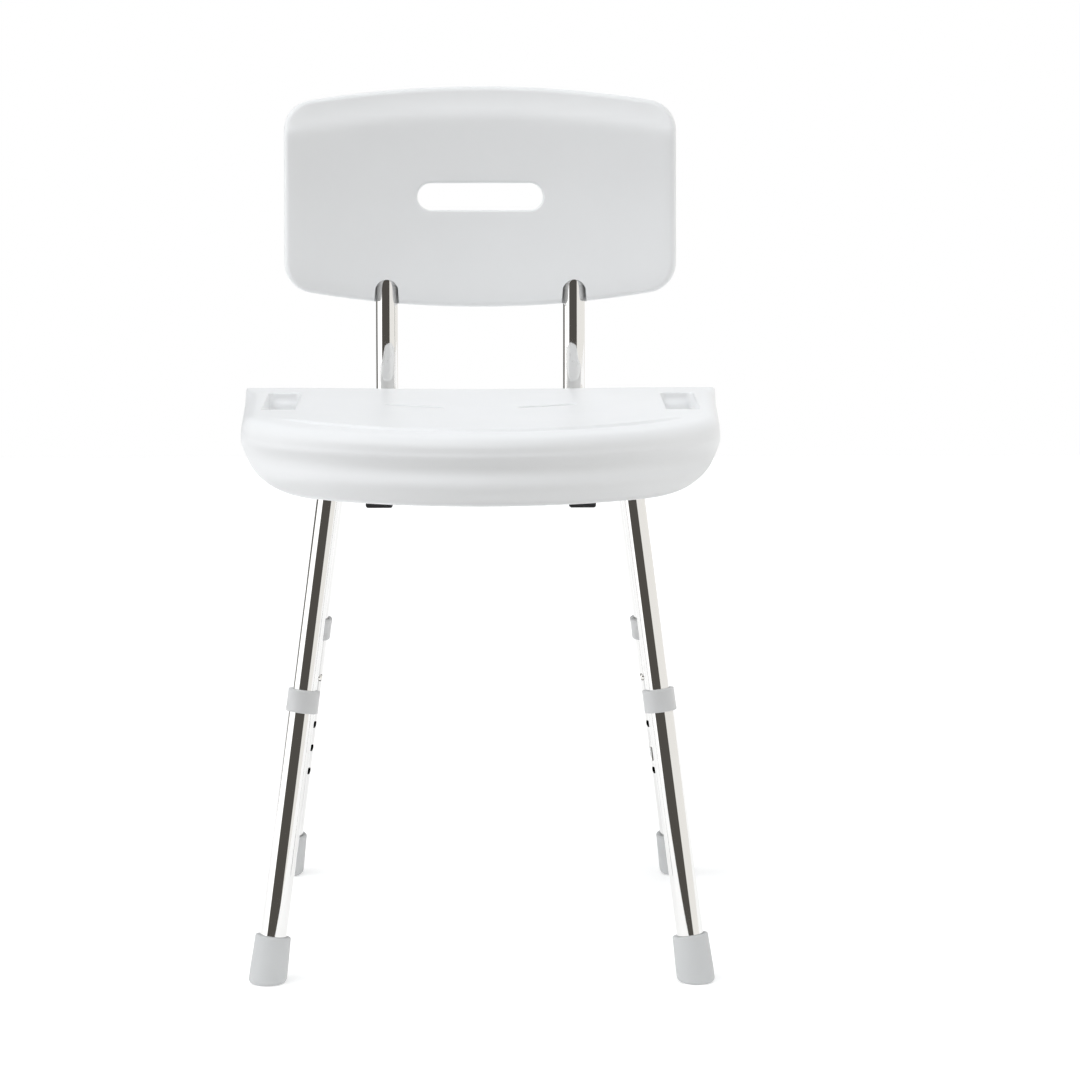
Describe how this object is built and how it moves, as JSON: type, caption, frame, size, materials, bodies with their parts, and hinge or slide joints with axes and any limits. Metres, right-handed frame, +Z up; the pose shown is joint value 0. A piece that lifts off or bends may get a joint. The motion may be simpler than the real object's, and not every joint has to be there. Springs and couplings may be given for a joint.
{
  "type": "shower chair",
  "caption": "Shower chair with a dished moulded seat with hand grips, a curved lift-out backrest and telescopic splayed tube legs on rubber feet.",
  "frame": {"origin": "on the floor, below the middle of the chair's own bounding box", "axes": "+Z up, +X to the right as seen from the front, the sitter faces -Y"},
  "size_m": [0.4758, 0.499, 0.8144],
  "materials": {
    "seat_plastic": "satin moulded white plastic",
    "back_plastic": "satin moulded white plastic",
    "clamp_plastic": "moulded light grey plastic",
    "chrome_tube": "polished chrome",
    "saddle_steel": "plated steel",
    "cap_plastic": "moulded dark plastic",
    "collar_plastic": "moulded light grey plastic",
    "foot_rubber": "light grey rubber",
    "washer_steel": "zinc plated",
    "screw_steel": "zinc plated",
    "button_steel": "nickel plated",
    "spring_steel": "spring steel"
  },
  "bodies": {
    "frame": {"seat": "seat_plastic", "seat_clamps": "clamp_plastic", "seat_screws": "screw_steel", "front_leg_frame": "chrome_tube", "rear_leg_frame": "chrome_tube", "frame_saddles": "saddle_steel", "receiver_left": "chrome_tube", "receiver_right": "chrome_tube", "receiver_end_caps": "cap_plastic", "leg_clip_front_left": "spring_steel", "leg_clip_front_right": "spring_steel", "leg_clip_rear_left": "spring_steel", "leg_clip_rear_right": "spring_steel"},
    "leg_front_left": {"lower_leg_front_left": "chrome_tube", "collar_front_left": "collar_plastic", "foot_front_left": "foot_rubber", "foot_washer_front_left": "washer_steel"},
    "leg_front_right": {"lower_leg_front_right": "chrome_tube", "collar_front_right": "collar_plastic", "foot_front_right": "foot_rubber", "foot_washer_front_right": "washer_steel"},
    "leg_rear_left": {"lower_leg_rear_left": "chrome_tube", "collar_rear_left": "collar_plastic", "foot_rear_left": "foot_rubber", "foot_washer_rear_left": "washer_steel"},
    "leg_rear_right": {"lower_leg_rear_right": "chrome_tube", "collar_rear_right": "collar_plastic", "foot_rear_right": "foot_rubber", "foot_washer_rear_right": "washer_steel"},
    "snap_button_front_left": {"leg_button_front_left": "button_steel"},
    "snap_button_front_right": {"leg_button_front_right": "button_steel"},
    "snap_button_rear_left": {"leg_button_rear_left": "button_steel"},
    "snap_button_rear_right": {"leg_button_rear_right": "button_steel"},
    "backrest": {"backrest_panel": "back_plastic", "backrest_screws": "screw_steel", "back_tube_left": "chrome_tube", "back_tube_right": "chrome_tube", "back_tube_plugs": "cap_plastic", "back_clip_left": "spring_steel", "back_clip_right": "spring_steel"},
    "snap_button_back_left": {"back_button_left": "button_steel"},
    "snap_button_back_right": {"back_button_right": "button_steel"}
  },
  "joints": [
    {"name": "leg_height_front_left", "type": "slide", "parent": "frame", "child": "leg_front_left", "axis": [0.1297, 0.1071, 0.9858], "range_m": [0, 0.1016], "deforming": ["leg_button_front_left"]},
    {"name": "leg_height_front_right", "type": "slide", "parent": "frame", "child": "leg_front_right", "axis": [-0.1297, 0.1071, 0.9858], "range_m": [0, 0.1016], "deforming": ["leg_button_front_right"]},
    {"name": "leg_height_rear_left", "type": "slide", "parent": "frame", "child": "leg_rear_left", "axis": [0.1297, -0.1071, 0.9858], "range_m": [0, 0.1016], "deforming": ["leg_button_rear_left"]},
    {"name": "leg_height_rear_right", "type": "slide", "parent": "frame", "child": "leg_rear_right", "axis": [-0.1297, -0.1071, 0.9858], "range_m": [0, 0.1016], "deforming": ["leg_button_rear_right"]},
    {"name": "snap_button_press_front_left", "type": "slide", "parent": "frame", "child": "snap_button_front_left", "axis": [-0.8316, -0.5297, 0.1669], "range_m": [0, 0.0034], "stiffness_N_per_m": 3000, "deforming": ["leg_clip_front_left"]},
    {"name": "snap_button_press_front_right", "type": "slide", "parent": "frame", "child": "snap_button_front_right", "axis": [0.8316, -0.5297, 0.1669], "range_m": [0, 0.0034], "stiffness_N_per_m": 3000, "deforming": ["leg_clip_front_right"]},
    {"name": "snap_button_press_rear_left", "type": "slide", "parent": "frame", "child": "snap_button_rear_left", "axis": [-0.8316, 0.5297, 0.1669], "range_m": [0, 0.0034], "stiffness_N_per_m": 3000, "deforming": ["leg_clip_rear_left"]},
    {"name": "snap_button_press_rear_right", "type": "slide", "parent": "frame", "child": "snap_button_rear_right", "axis": [0.8316, 0.5297, 0.1669], "range_m": [0, 0.0034], "stiffness_N_per_m": 3000, "deforming": ["leg_clip_rear_right"]},
    {"name": "backrest_pull_out", "type": "slide", "parent": "frame", "child": "backrest", "axis": [0, 1, 0], "range_m": [0, 0.28], "deforming": ["back_button_left", "back_button_right"]},
    {"name": "snap_button_press_back_left", "type": "slide", "parent": "backrest", "child": "snap_button_back_left", "axis": [0, 0, 1], "range_m": [0, 0.0034], "stiffness_N_per_m": 3000, "deforming": ["back_clip_left"]},
    {"name": "snap_button_press_back_right", "type": "slide", "parent": "backrest", "child": "snap_button_back_right", "axis": [0, 0, 1], "range_m": [0, 0.0034], "stiffness_N_per_m": 3000, "deforming": ["back_clip_right"]}
  ]
}
